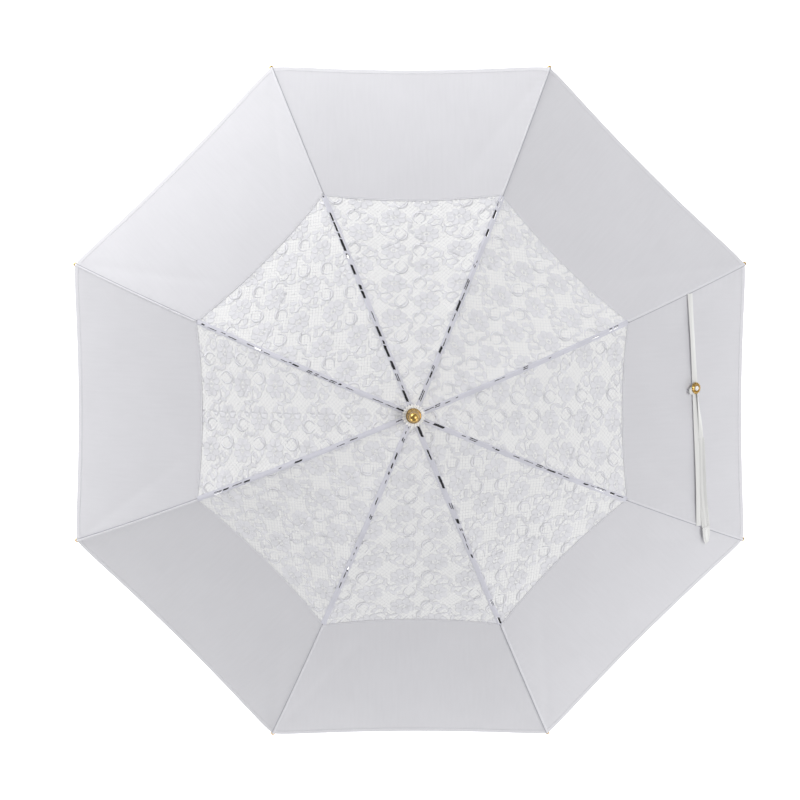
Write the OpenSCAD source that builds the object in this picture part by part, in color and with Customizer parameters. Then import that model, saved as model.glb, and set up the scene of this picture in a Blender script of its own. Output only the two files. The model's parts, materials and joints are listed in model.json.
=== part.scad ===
// Straight lace parasol, open: eight gores on eight two-piece ribs, a sliding runner and a
// straight handle. Millimetres, +Z up, origin at the centre of the handle's flat end.

/* [Canopy] */
// Distance from the shaft's axis to a rib tip
rim_radius = 435; // [400:5:460]
// Height of the canopy's top above its rib tips
dome_rise = 185; // [165:5:200]
// Share of a rib's length that the lace covers, from the top
lace_share = 0.583; // [0.55:0.001:0.65]
// Thickness of the cloth solids
cloth_t = 0.8; // [0.5:0.1:1]

/* [Frame] */
// Share of a rib's length at which the stretcher joins it
joint_share = 0.4; // [0.36:0.01:0.44]
// Length of a stretcher between its two pivots
stretcher_len = 200; // [196:1:215]
// Distance from the shaft's axis to the pivots in the crown and the runner
hub_r = 11; // [10.5:0.5:12]
// Width of the ribs and stretchers
bar_w = 3.4; // [3:0.1:3.6]
// Diameter of the ribs' outer rods
rod_d = 2.4; // [2:0.1:2.6]

/* [Shaft and handle] */
// Height of the canopy's top above the handle's end
apex_z = 760; // [740:5:800]
// Outer diameter of the shaft
shaft_d = 10; // [9.6:0.1:10.2]
// Wall of the shaft's tube
shaft_wall = 0.9; // [0.7:0.1:1.2]
// Diameter of the handle
handle_d = 22; // [20:1:26]
// Length of the handle between its two brass fittings
handle_len = 158; // [140:2:180]

/* [Trim] */
// Diameter of the ferrule's foot
ferrule_d = 17.8; // [16:0.2:20]
// Height of the ferrule
ferrule_h = 27; // [22:1:34]
// Diameter of the gathered cloth collar under the ferrule
rosette_d = 27.5; // [25:0.5:30]
// Length of the closing strap
strap_len = 292; // [270:2:300]
// Width of the closing strap
strap_w = 16; // [12:1:20]

/* [Hidden] */
RIBS = 8;

step_a = 360 / RIBS;
half_a = step_a / 2;

// The dome is part of a ball: its radius, its centre's height and the angle down to the rim
dome_r = (rim_radius ^ 2 + dome_rise ^ 2) / (2 * dome_rise);
dome_z = apex_z - dome_r;
rim_a = asin(rim_radius / dome_r);
lace_a = lace_share * rim_a;
joint_a = joint_share * rim_a;

// The ribs' middle line lies under the cloth, and their pivots a little lower still
rib_drop = 3.5;
pivot_drop = 3.2;
rib_r = dome_r - rib_drop;
pivot_r = rib_r - pivot_drop;
bar_h = 3;
bar_wall = 0.6;
pin_r = 0.8;
pin_hole_r = 0.86;
eye_r = 2.2;

// Pivots, as distance from the axis and height
crown_p = [hub_r, dome_z + sqrt(pivot_r ^ 2 - hub_r ^ 2)];
joint_p = [pivot_r * sin(joint_a), dome_z + pivot_r * cos(joint_a)];
runner_p = [hub_r, joint_p[1] - sqrt(stretcher_len ^ 2 - (joint_p[0] - hub_r) ^ 2)];
stretcher_a = atan2(joint_p[1] - runner_p[1], joint_p[0] - runner_p[0]);

// Joint of the three pieces at a rib's middle, measured across the rib
tongue_w = 1.2;
cheek_in = 0.9;
fork_in = 2.0;
fork_t = 0.8;
butt_gap = 2.5;
tongue_len = 12;
cheek_len = 13;
joint_pin_len = 3.6;
rivet_r = 1.5;
rivet_h = 0.6;

// Sleeve over the start of a rib's outer rod, and the cap on its end
sleeve_from = 10;
sleeve_to = 32;
rib_sleeve_r = 1.9;
tip_len = 11;
tip_ball_r = 2.6;
tip_bore_len = 9.5;

// Section of a stretcher: its height and how far its channel stops before each end
stretcher_h = 2.8;
channel_from = 6;
block_x = 8;
block_len = 4;

// Crown and runner share one slotted wheel and a ring of binding wire
wheel_r = 16;
wheel_h = 8;
slot_w = bar_w + 0.6;
slot_r = 8.3;
wire_r = 0.6;
wire_hole_r = 1;
sleeve_r = 8;
sleeve_len = 55;
running_gap = 0.08;
press_gap = 0.02;

// Travel of the runner, and the catches that hold it at both ends
travel = 257;
catch_w = 2.6;
catch_t = 0.8;
catch_nose = 2.6;
catch_ease = 0.4;
catch_len = 14;
catch_strip = 34;
window_top = 26;
window_len = 18;

// Heights above the canopy's top: the shaft's end, the cloth collar and the ferrule
shaft_over = 12;
rosette_over = 0.4;
rosette_h = 2.6;
ferrule_over = 3.4;
ferrule_foot_h = 2;
ferrule_neck = 0.68;

// Handle fittings
cap_h = 7;
collar_h = 11;
shaft_foot = 24;
handle_round = 4.5;
handle_top = cap_h + handle_len;

// Strap: where it crosses the middle of its gore, and its snap
strap_a = 36.4;
strap_turn = 3.6;
strap_t = 1.2;
strap_lift = 1.5;
strap_start = 138;
snap_r = 6.5;
snap_h = 2.8;
snap_edge = 0.8;
snap_button_r = 2;
snap_y = 22;
socket_y = -125;
socket_h = 1;

// Opening of the cloth round the shaft, and the gap between lace and outer cloth
cloth_hole_r = 7;
cloth_gap = 0.3;
seam_gap = 0.5;

$fn = 48;

// ---- helpers -------------------------------------------------------------------------

// Turns children from the X axis to rib number i
module at_rib(i) {
    rotate([0, 0, (i - 0.5) * step_a])
        children();
}

// Sweeps a flat section around the dome's centre between two angles from the vertical
module dome_sweep(from_a, to_a) {
    translate([0, 0, dome_z])
        rotate([90, 0, 0])
            rotate([0, 0, 90 - to_a])
                rotate_extrude(angle = to_a - from_a, $fn = 180)
                    children();
}

// Flat section of a strip: distances from the dome's centre, and across the rib
module strip(low_r, high_r, from_y, to_y) {
    translate([low_r, from_y])
        square([high_r - low_r, to_y - from_y]);
}

// Disc across the rib at pivot p
module pivot_disc(p, r, from_y, to_y) {
    translate([p[0], to_y, p[1]])
        rotate([90, 0, 0])
            cylinder(r = r, h = to_y - from_y);
}

// Degrees along the rib's line that cover a length in millimetres
function arc_a(len) = len / rib_r * 180 / PI;

// Slotted wheel with its ring of binding wire, centred on height z
module slotted_wheel(z, bore_r) {
    difference() {
        translate([0, 0, z - wheel_h / 2])
            cylinder(r = wheel_r, h = wheel_h, $fn = 96);
        translate([0, 0, z - wheel_h])
            cylinder(r = bore_r, h = 2 * wheel_h);
        for (i = [1:RIBS])
            at_rib(i)
                translate([slot_r, -slot_w / 2, z - wheel_h])
                    cube([wheel_r, slot_w, 2 * wheel_h]);
        translate([0, 0, z])
            rotate_extrude($fn = 96)
                translate([hub_r, 0])
                    circle(r = wire_r + 0.1, $fn = 24);
    }
    translate([0, 0, z])
        rotate_extrude($fn = 96)
            translate([hub_r, 0])
                circle(r = wire_r, $fn = 24);
}

// Spring catch: a strip inside the shaft and a nose through its slot; up is 1 or -1
module spring_catch(nose_z, up) {
    inner_x = shaft_d / 2 - shaft_wall - catch_t - catch_ease;
    nose_x = shaft_d / 2 + catch_nose;
    translate([0, catch_w / 2, nose_z])
        rotate([90, 0, 0])
            linear_extrude(catch_w)
                polygon([
                    [inner_x, up * 3],
                    [inner_x, -up * catch_strip],
                    [inner_x + catch_t, -up * catch_strip],
                    [inner_x + catch_t, -up * catch_len],
                    [nose_x, -up * 2],
                    [nose_x, 0],
                    [inner_x + catch_t, 0],
                    [inner_x + catch_t, up * 3]]);
}

// Slot in the shaft for a catch's nose
module catch_slot(nose_z, up) {
    low = up > 0 ? nose_z - catch_len - 1 : nose_z - 0.4;
    translate([0, -catch_w / 2 - 0.3, low])
        cube([shaft_d, catch_w + 0.6, catch_len + 1.4]);
}

// One gore's sheet of cloth between two angles from the vertical, centred on the X axis
module gore_sheet(from_a, to_a, steps) {
    squeeze = cos(half_a);
    far = rim_radius * 1.2;
    outer = [for (k = [0:steps]) let (a = from_a + (to_a - from_a) * k / steps)
        [squeeze * dome_r * sin(a), dome_z + dome_r * cos(a)]];
    inner = [for (k = [steps:-1:0]) let (a = from_a + (to_a - from_a) * k / steps)
        [squeeze * (dome_r - cloth_t) * sin(a), dome_z + (dome_r - cloth_t) * cos(a)]];
    intersection() {
        rotate([90, 0, 0])
            linear_extrude(2 * far * tan(half_a), center = true)
                polygon(concat(outer, inner));
        translate([seam_gap, 0, dome_z])
            linear_extrude(dome_r * 1.1)
                polygon([[0, 0], [far, -far * tan(half_a)], [far, far * tan(half_a)]]);
    }
}

// ---- root pieces ---------------------------------------------------------------------

top_nose_z = runner_p[1] - sleeve_len - 0.3;
bottom_nose_z = runner_p[1] - travel - window_top - window_len + 1;

module shaft() {
    color("#2b2b2e")
        difference() {
            translate([0, 0, shaft_foot])
                cylinder(d = shaft_d, h = apex_z + shaft_over - shaft_foot);
            translate([0, 0, shaft_foot - 1])
                cylinder(d = shaft_d - 2 * shaft_wall, h = apex_z + shaft_over + 2 - shaft_foot);
            catch_slot(top_nose_z, 1);
            catch_slot(bottom_nose_z, -1);
        }
}

module crown() {
    color("#26262a")
        slotted_wheel(crown_p[1], shaft_d / 2 + press_gap);
}

module ferrule() {
    foot_z = apex_z + ferrule_over;
    r = ferrule_d / 2;
    neck_r = r * ferrule_neck;
    color("#d8a93a")
        difference() {
            translate([0, 0, foot_z])
                rotate_extrude($fn = 96) {
                    square([r, ferrule_foot_h]);
                    translate([0, ferrule_foot_h])
                        polygon([[0, 0], [r - 0.6, 0], [r * 0.72, 5], [neck_r, 9],
                            [neck_r, ferrule_h - ferrule_foot_h - neck_r],
                            [0, ferrule_h - ferrule_foot_h - neck_r]]);
                    translate([0, ferrule_h - neck_r])
                        intersection() {
                            circle(r = neck_r, $fn = 64);
                            square(neck_r);
                        }
                }
            translate([0, 0, foot_z - 1])
                cylinder(r = shaft_d / 2 + press_gap, h = apex_z + shaft_over + 0.2 - foot_z + 1);
        }
}

module rosette() {
    color("#f3f2f4")
        translate([0, 0, apex_z + rosette_over])
            difference() {
                cylinder(d = rosette_d, h = rosette_h, $fn = 96);
                translate([0, 0, -1])
                    cylinder(r = shaft_d / 2 + press_gap, h = rosette_h + 2.4);
            }
}

module handle() {
    color("#e9dcc3")
        difference() {
            translate([0, 0, cap_h])
                rotate_extrude($fn = 96)
                    union() {
                        square([handle_d / 2, handle_len - handle_round]);
                        square([handle_d / 2 - handle_round, handle_len]);
                        translate([handle_d / 2 - handle_round, handle_len - handle_round])
                            circle(r = handle_round, $fn = 48);
                    }
            translate([0, 0, shaft_foot - 1])
                cylinder(r = shaft_d / 2 + press_gap, h = handle_len);
        }
}

module handle_collar() {
    color("#d8a93a")
        translate([0, 0, handle_top + 0.2])
            difference() {
                rotate_extrude($fn = 96)
                    polygon([[0, 0], [8.4, 0], [8.4, 2.4], [7.2, 3.4], [6.6, collar_h], [0, collar_h]]);
                translate([0, 0, -1])
                    cylinder(r = shaft_d / 2 + press_gap, h = collar_h + 2);
            }
}

module handle_cap() {
    color("#d8a93a")
        rotate_extrude($fn = 96)
            polygon([[0, 0], [handle_d / 2 - 2.2, 0], [handle_d / 2 - 0.3, 1.6],
                [handle_d / 2 - 0.3, cap_h - 0.1], [0, cap_h - 0.1]]);
}

module top_catch() {
    color("#b9bbc0")
        spring_catch(top_nose_z, 1);
}

module bottom_catch() {
    color("#b9bbc0")
        spring_catch(bottom_nose_z, -1);
}

// ---- runner --------------------------------------------------------------------------

module runner() {
    bore_r = shaft_d / 2 + running_gap;
    z = runner_p[1];
    color("#26262a") {
        slotted_wheel(z, bore_r);
        difference() {
            union() {
                translate([0, 0, z - sleeve_len])
                    cylinder(r = sleeve_r, h = sleeve_len + wheel_h / 2);
                translate([0, 0, z - sleeve_len])
                    cylinder(r = sleeve_r + 1.6, h = 4);
            }
            translate([0, 0, z - sleeve_len - 1])
                cylinder(r = bore_r, h = sleeve_len + wheel_h);
            translate([0, -catch_w / 2 - 0.4, z - window_top - window_len])
                cube([2 * sleeve_r, catch_w + 0.8, window_len]);
        }
    }
}

// ---- one arm of the frame ------------------------------------------------------------

module inner_rib(i) {
    start_a = asin((hub_r - 2) / rib_r);
    end_a = joint_a - arc_a(butt_gap);
    rivet_y = joint_pin_len - 0.5;
    tongue_a = joint_a - arc_a(tongue_len);
    color("#232326")
        at_rib(i)
            difference() {
                union() {
                    dome_sweep(start_a, end_a)
                        difference() {
                            strip(rib_r - bar_h / 2, rib_r + bar_h / 2, -bar_w / 2, bar_w / 2);
                            strip(rib_r - bar_h, rib_r + bar_h / 2 - bar_wall,
                                bar_wall - bar_w / 2, bar_w / 2 - bar_wall);
                        }
                    dome_sweep(tongue_a, end_a)
                        strip(pivot_r - 1.4, rib_r + 1.2, -tongue_w / 2, tongue_w / 2);
                    dome_sweep(tongue_a, joint_a)
                        strip(pivot_r - 1.4, pivot_r + 1.4, -tongue_w / 2, tongue_w / 2);
                    pivot_disc(joint_p, eye_r, -tongue_w / 2, tongue_w / 2);
                    pivot_disc(joint_p, pin_r, -joint_pin_len, joint_pin_len);
                    pivot_disc(joint_p, rivet_r, rivet_y, rivet_y + rivet_h);
                    pivot_disc(joint_p, rivet_r, -rivet_y - rivet_h, -rivet_y);
                    pivot_disc(crown_p, eye_r, -bar_w / 2, bar_w / 2);
                }
                pivot_disc(crown_p, wire_hole_r, -bar_w, bar_w);
            }
}

module outer_rib(i) {
    strip_a = joint_a + arc_a(2);
    sleeve_a = joint_a + arc_a(sleeve_from);
    cheek_a = joint_a + arc_a(cheek_len);
    color("#2a2a2e")
        at_rib(i) {
            difference() {
                union() {
                    for (side = [-1, 1]) {
                        low_y = side > 0 ? cheek_in : -bar_w / 2;
                        high_y = side > 0 ? bar_w / 2 : -cheek_in;
                        pivot_disc(joint_p, 2, low_y, high_y);
                        dome_sweep(joint_a, cheek_a)
                            strip(pivot_r - 1.2, pivot_r + 1.2, low_y, high_y);
                        dome_sweep(strip_a, cheek_a)
                            strip(pivot_r - 1.2, rib_r + 1.2, low_y, high_y);
                    }
                    dome_sweep(sleeve_a, joint_a + arc_a(sleeve_to))
                        translate([rib_r, 0])
                            circle(r = rib_sleeve_r, $fn = 32);
                    dome_sweep(sleeve_a, rim_a - arc_a(3))
                        translate([rib_r, 0])
                            circle(d = rod_d, $fn = 32);
                }
                pivot_disc(joint_p, pin_hole_r, -bar_w, bar_w);
            }
        }
}

module rib_tip(i) {
    color("#c9a14a")
        at_rib(i)
            translate([0, 0, dome_z])
                rotate([0, rim_a, 0])
                    translate([0, 0, rib_r])
                        rotate([0, 90, 0])
                            difference() {
                                union() {
                                    translate([0, 0, -tip_len])
                                        cylinder(r1 = 1.9, r2 = 2.1, h = tip_len);
                                    sphere(r = tip_ball_r, $fn = 40);
                                }
                                translate([0, 0, -tip_len - 1])
                                    cylinder(d = rod_d + 0.3, h = tip_bore_len);
                            }
}

module stretcher(i) {
    color("#232326")
        at_rib(i)
            translate([runner_p[0], 0, runner_p[1]])
                rotate([0, -stretcher_a, 0])
                    difference() {
                        union() {
                            difference() {
                                translate([0, -bar_w / 2, -stretcher_h / 2])
                                    cube([stretcher_len - block_x, bar_w, stretcher_h]);
                                translate([channel_from, bar_wall - bar_w / 2, -stretcher_h / 2 - 1])
                                    cube([stretcher_len - block_x - 2 * channel_from,
                                        bar_w - 2 * bar_wall, stretcher_h + 0.4]);
                            }
                            translate([0, bar_w / 2, 0])
                                rotate([90, 0, 0])
                                    cylinder(r = eye_r, h = bar_w);
                            translate([stretcher_len - block_x - block_len, -fork_in - fork_t,
                                -stretcher_h / 2])
                                cube([block_len, 2 * (fork_in + fork_t), stretcher_h]);
                            for (side = [-1, 1]) {
                                low_y = side > 0 ? fork_in : -fork_in - fork_t;
                                translate([stretcher_len - block_x - block_len, low_y, -stretcher_h / 2])
                                    cube([block_x + block_len, fork_t, stretcher_h]);
                                translate([stretcher_len, low_y + fork_t, 0])
                                    rotate([90, 0, 0])
                                        cylinder(r = 2.4, h = fork_t);
                            }
                        }
                        translate([0, bar_w, 0])
                            rotate([90, 0, 0])
                                cylinder(r = wire_hole_r, h = 2 * bar_w);
                        translate([stretcher_len, 2 * bar_w, 0])
                            rotate([90, 0, 0])
                                cylinder(r = pin_hole_r, h = 4 * bar_w);
                    }
}

// ---- canopy --------------------------------------------------------------------------

module lace_panel(i) {
    color("#ecebef")
        rotate([0, 0, i * step_a])
            gore_sheet(asin(cloth_hole_r / dome_r), lace_a, 10);
}

module outer_panel(i) {
    color("#e3e2e8")
        rotate([0, 0, i * step_a])
            gore_sheet(lace_a + arc_a(cloth_gap), rim_a, 8);
}

// Places children on the strap's line, on the gore between the last rib and the first
module on_strap() {
    translate([cos(half_a) * dome_r * sin(strap_a), 0, dome_z + dome_r * cos(strap_a)])
        rotate([0, atan(tan(strap_a) / cos(half_a)), 0])
            rotate([0, 0, strap_turn])
                children();
}

module strap() {
    color("#f4f3f5")
        on_strap()
            translate([-strap_w / 2, strap_start - strap_len, strap_lift])
                cube([strap_w, strap_len, strap_t]);
}

module strap_snaps() {
    color("#d8a93a")
        on_strap() {
            translate([0, snap_y, strap_lift + strap_t])
                rotate_extrude($fn = 64)
                    polygon([[0, 0], [snap_r, 0], [snap_r, snap_edge], [snap_r - 1.4, 2],
                        [snap_button_r, snap_h], [0, snap_h]]);
            translate([0, socket_y, strap_lift - socket_h - 0.1])
                cylinder(r = snap_r - 1, h = socket_h);
        }
}

// ---- assembly ------------------------------------------------------------------------

shaft();
crown();
ferrule();
rosette();
handle();
handle_collar();
handle_cap();
top_catch();
bottom_catch();
runner();
strap();
strap_snaps();
for (i = [1:RIBS]) {
    inner_rib(i);
    outer_rib(i);
    rib_tip(i);
    stretcher(i);
    lace_panel(i);
    outer_panel(i);
}
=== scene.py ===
"""Looks for the lace parasol: cloth, lace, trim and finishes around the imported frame."""

import json
import math
import random
import bmesh
import bpy
from mathutils import Matrix, Vector

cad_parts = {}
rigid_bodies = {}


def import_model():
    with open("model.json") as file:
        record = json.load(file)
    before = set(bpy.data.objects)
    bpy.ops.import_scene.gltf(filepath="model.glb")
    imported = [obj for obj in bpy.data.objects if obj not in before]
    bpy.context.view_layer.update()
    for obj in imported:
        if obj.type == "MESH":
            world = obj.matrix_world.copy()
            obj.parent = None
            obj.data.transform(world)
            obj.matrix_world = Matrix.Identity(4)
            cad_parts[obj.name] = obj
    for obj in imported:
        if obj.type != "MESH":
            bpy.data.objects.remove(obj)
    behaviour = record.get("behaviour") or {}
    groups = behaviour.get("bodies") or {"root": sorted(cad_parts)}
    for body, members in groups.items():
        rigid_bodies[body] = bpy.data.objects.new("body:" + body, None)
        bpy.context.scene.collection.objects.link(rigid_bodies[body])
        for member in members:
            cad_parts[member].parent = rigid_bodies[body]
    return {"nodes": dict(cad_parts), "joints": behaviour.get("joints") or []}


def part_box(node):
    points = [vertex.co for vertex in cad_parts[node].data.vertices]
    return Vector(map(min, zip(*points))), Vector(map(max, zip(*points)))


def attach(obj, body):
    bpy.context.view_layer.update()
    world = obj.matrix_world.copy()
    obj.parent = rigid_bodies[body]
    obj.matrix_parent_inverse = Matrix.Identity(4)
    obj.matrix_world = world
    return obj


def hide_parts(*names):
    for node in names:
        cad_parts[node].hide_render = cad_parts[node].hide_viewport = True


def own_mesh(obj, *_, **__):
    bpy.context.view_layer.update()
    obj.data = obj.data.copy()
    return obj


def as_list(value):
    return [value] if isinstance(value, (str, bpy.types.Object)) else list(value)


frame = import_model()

bl_info = {
    "name": "Lace parasol",
    "version": (1, 0, 0),
    "blender": (4, 5, 0),
    "location": "3D View > Sidebar > Parasol",
    "description": "Dresses a parasol frame with a lace canopy, trim and finishes",
    "category": "Object",
}

# ---- measures taken from the frame -------------------------------------------------------

RIBS = 8
STEP = 2 * math.pi / RIBS
HALF = STEP / 2
MM = 0.001

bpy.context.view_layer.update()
OUTER_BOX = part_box("outer_panel_8")
LACE_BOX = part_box("lace_panel_8")
ROSETTE_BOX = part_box("rosette")
SNAP_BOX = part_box("strap_snaps")

# The dome is part of a ball that passes through the canopy's top and the rib tips
DOME_RISE = 0.185
APEX_Z = round(LACE_BOX[1].z, 3)
RIM_RADIUS = OUTER_BOX[1].x / math.cos(HALF)
DOME_R = (RIM_RADIUS**2 + DOME_RISE**2) / (2 * DOME_RISE)
DOME_Z = APEX_Z - DOME_R

# Lengths along a seam, from the canopy's top
RIM_P = DOME_R * math.asin(RIM_RADIUS / DOME_R)
LACE_P = DOME_R * math.asin(LACE_BOX[1].x / math.cos(HALF) / DOME_R)
CROWN_P = 8 * MM


def joint_named(name):
    """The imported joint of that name."""
    return next(joint for joint in frame["joints"] if joint["name"] == name)


HINGE = Vector(joint_named("outer_rib_1_bend")["pos_m"])
HINGE_R = math.hypot(HINGE.x, HINGE.y)

# How the cloth hangs between the ribs
SAG = 2.2 * MM
RIM_HOLLOW = 8.4 * MM
TIP_BARE = 3.6 * MM
LACE_HOLLOW = 6.6 * MM
SEAM_GAP = 2.0 * MM


# ---- places on the canopy ----------------------------------------------------------------


def rib_azimuth(rib):
    """Direction of a rib, numbered from 1, seen from above."""
    return (rib - 0.5) * STEP


def across_rib(rib):
    """Unit vector across a rib, which is its hinges' axis."""
    a = rib_azimuth(rib)
    return Vector((-math.sin(a), math.cos(a), 0))


def half_width(p):
    """Half of a gore's width at length p."""
    return math.sin(HALF) * DOME_R * math.sin(p / DOME_R)


def on_gore(gore, p, q, lift=0.0):
    """Point of a gore's cloth at length p and at q across its middle line, raised by lift."""
    a = p / DOME_R
    share = min(abs(q) / max(half_width(p), 1e-6), 1.0)
    rise = lift - SAG * math.sin(math.pi * min(p / RIM_P, 1)) * (1 - share * share)
    normal = Vector((math.sin(a), 0, math.cos(HALF) * math.cos(a))).normalized()
    point = Vector((math.cos(HALF) * DOME_R * math.sin(a), q, DOME_Z + DOME_R * math.cos(a)))
    return Matrix.Rotation(gore * STEP, 3, "Z") @ (point + normal * rise)


def on_canopy(x, y, lift=0.0):
    """Point of the canopy above x, y, raised straight up by lift."""
    gore = round(math.atan2(y, x) / STEP)
    out = x * math.cos(gore * STEP) + y * math.sin(gore * STEP)
    a = math.asin(out / math.cos(HALF) / DOME_R)
    return Vector((x, y, DOME_Z + DOME_R * math.cos(a) + lift))


def hinge_p(share):
    """Length at which the plane through a rib's middle hinge cuts the gore, by share of half width."""
    out = HINGE_R / (math.cos(HALF) + share * math.tan(HALF) * math.sin(HALF))
    return DOME_R * math.asin(out / math.cos(HALF) / DOME_R)


def lace_p(share):
    """Length of the lace's hollow hem."""
    return LACE_P - LACE_HOLLOW * (1 - share * share)


def rim_p(share):
    """Length of the rim's hollow edge, which leaves the rib's cap bare at the corner."""
    return RIM_P - RIM_HOLLOW * (1 - share * share) - TIP_BARE * share**12


def sides_of(rib):
    """The half gores beside a rib: gore number and the side of its middle line."""
    return ((rib, -1), (rib - 1, 1))


# ---- small makers ------------------------------------------------------------------------


def finished(bm, name, material, smooth=True):
    """Turns a bmesh into a linked object with one material."""
    mesh = bpy.data.meshes.new(name)
    bm.to_mesh(mesh)
    bm.free()
    mesh.polygons.foreach_set("use_smooth", [smooth] * len(mesh.polygons))
    obj = bpy.data.objects.new(name, mesh)
    bpy.context.scene.collection.objects.link(obj)
    obj.data.materials.append(material)
    return obj


def thickened(obj, thickness, offset=-1.0):
    """Gives a cloth sheet its thickness; its border stays crisp."""
    bm = bmesh.new()
    bm.from_mesh(obj.data)
    for edge in bm.edges:
        edge.smooth = not edge.is_boundary
    bm.to_mesh(obj.data)
    bm.free()
    wall = obj.modifiers.new("cloth_thickness", "SOLIDIFY")
    wall.thickness = thickness
    wall.offset = offset
    return obj


def folds_with(obj, rib, body, keep):
    """Rides on a rib's body."""
    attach(obj, body)
    joint = f"inner_rib_{rib}_fold"
    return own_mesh(obj, joint, axis=across_rib(rib), anchor=(0, 0, 0), keep=keep)


def grid_into(bm, columns, rows, place):
    """Adds a grid whose corners run from 0 to 1 both ways, put in place by a function of both shares."""
    made = bmesh.ops.create_grid(bm, x_segments=columns, y_segments=rows, size=0.5, calc_uvs=False)
    for vert in made["verts"]:
        vert.co = place(vert.co.x + 0.5, vert.co.y + 0.5)
    return made["verts"]


def half_sheet(bm, gore, side, start, end, columns, rows, lift, gap=0.0):
    """Adds half a gore between two edges, from its middle line to its seam, with lengths as its UV map."""
    uv = bm.loops.layers.uv.verify()
    flat = {}

    def place(f, t):
        share = 1 - (1 - f) ** 1.5
        p = start(share) + (end(share) - start(share)) * t
        q = side * share * (half_width(p) - gap)
        point = on_gore(gore, p, q, lift(p, abs(q)))
        flat[point.freeze()] = (q, p)
        return point

    verts = grid_into(bm, columns, rows, place)
    faces = {face for vert in verts for face in vert.link_faces}
    for face in faces:
        face.normal_update()
    if sum(face.normal.z for face in faces) < 0:
        bmesh.ops.reverse_faces(bm, faces=list(faces))
    for vert in verts:
        q, p = gore_lengths(gore, vert.co)
        for loop in vert.link_loops:
            loop[uv].uv = (q, p)


def gore_lengths(gore, point):
    """Across and along lengths of a point on a gore's cloth."""
    local = Matrix.Rotation(-gore * STEP, 3, "Z") @ point
    share = min(local.x / math.cos(HALF) / DOME_R, 1)
    return local.y, DOME_R * math.asin(share)


def level(height):
    """A lift that is the same all over."""
    return lambda p, q: height


def outer_lift(p, q):
    """Fine puckers beside the seams of the outer cloth, and a slack crease towards each tip."""
    off_seam = half_width(p) - q
    pucker = 0.22 * MM * math.sin(p * 2 * math.pi / 0.0105) * math.exp(-off_seam / (6 * MM))
    crease = 0.5 * MM * math.exp(-(((off_seam - 0.30 * (RIM_P - p)) / (7 * MM)) ** 2))
    fade = min(max((RIM_P - p) / 0.03, 0), 1) * min(max((p - LACE_P) / 0.05, 0), 1)
    return pucker - crease * fade


# ---- materials ---------------------------------------------------------------------------


def new_finish(name, roughness, metallic=0.0, sheen=0.0, coat=0.0):
    """A material with its shader, ready for patterns."""
    material = bpy.data.materials.new(name)
    material.use_nodes = True
    shader = material.node_tree.nodes["Principled BSDF"]
    shader.inputs["Roughness"].default_value = roughness
    shader.inputs["Metallic"].default_value = metallic
    shader.inputs["Sheen Weight"].default_value = sheen
    shader.inputs["Sheen Roughness"].default_value = 0.4
    shader.inputs["Coat Weight"].default_value = coat
    return material, material.node_tree, shader


def coordinates(tree, kind, scale=(1, 1, 1)):
    """Object or UV coordinates through a mapping."""
    source = tree.nodes.new("ShaderNodeTexCoord")
    mapping = tree.nodes.new("ShaderNodeMapping")
    mapping.inputs["Scale"].default_value = scale
    tree.links.new(source.outputs[kind], mapping.inputs["Vector"])
    return mapping.outputs["Vector"]


def noise(tree, vector, scale, detail=3.0, roughness=0.5):
    """A noise pattern's value."""
    node = tree.nodes.new("ShaderNodeTexNoise")
    node.inputs["Scale"].default_value = scale
    node.inputs["Detail"].default_value = detail
    node.inputs["Roughness"].default_value = roughness
    tree.links.new(vector, node.inputs["Vector"])
    return node.outputs["Fac"]


def threads(tree, vector, pitch, direction="X", distortion=0.0):
    """A row of parallel threads at that pitch in metres."""
    node = tree.nodes.new("ShaderNodeTexWave")
    node.bands_direction = direction
    node.inputs["Scale"].default_value = math.pi / 10 / pitch
    node.inputs["Distortion"].default_value = distortion
    node.inputs["Detail"].default_value = 1.0
    tree.links.new(vector, node.inputs["Vector"])
    return node.outputs["Fac"]


def combined(tree, first, second, operation="MULTIPLY"):
    """Two patterns put together."""
    node = tree.nodes.new("ShaderNodeMath")
    node.operation = operation
    for socket, value in zip(node.inputs, (first, second)):
        if isinstance(value, float):
            socket.default_value = value
        else:
            tree.links.new(value, socket)
    return node.outputs["Value"]


def tones(tree, value, *stops):
    """A colour ramp over a pattern; each stop is a place and a colour."""
    node = tree.nodes.new("ShaderNodeValToRGB")
    ramp = node.color_ramp
    while len(ramp.elements) < len(stops):
        ramp.elements.new(0.5)
    for element, (place, colour) in zip(ramp.elements, stops):
        element.position = place
        element.color = (*colour, 1)
    tree.links.new(value, node.inputs["Fac"])
    return node.outputs["Color"]


def roughened(tree, shader, value, low, high):
    """Roughness that varies with a pattern."""
    node = tree.nodes.new("ShaderNodeMapRange")
    node.inputs["To Min"].default_value = low
    node.inputs["To Max"].default_value = high
    tree.links.new(value, node.inputs["Value"])
    tree.links.new(node.outputs["Result"], shader.inputs["Roughness"])


def bumped(tree, shader, value, strength, distance):
    """Relief from a pattern."""
    node = tree.nodes.new("ShaderNodeBump")
    node.inputs["Strength"].default_value = strength
    node.inputs["Distance"].default_value = distance
    tree.links.new(value, node.inputs["Height"])
    tree.links.new(node.outputs["Normal"], shader.inputs["Normal"])


def shaded(colour, factor):
    """A colour made lighter or darker."""
    return tuple(min(channel * factor, 1.0) for channel in colour)


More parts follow.
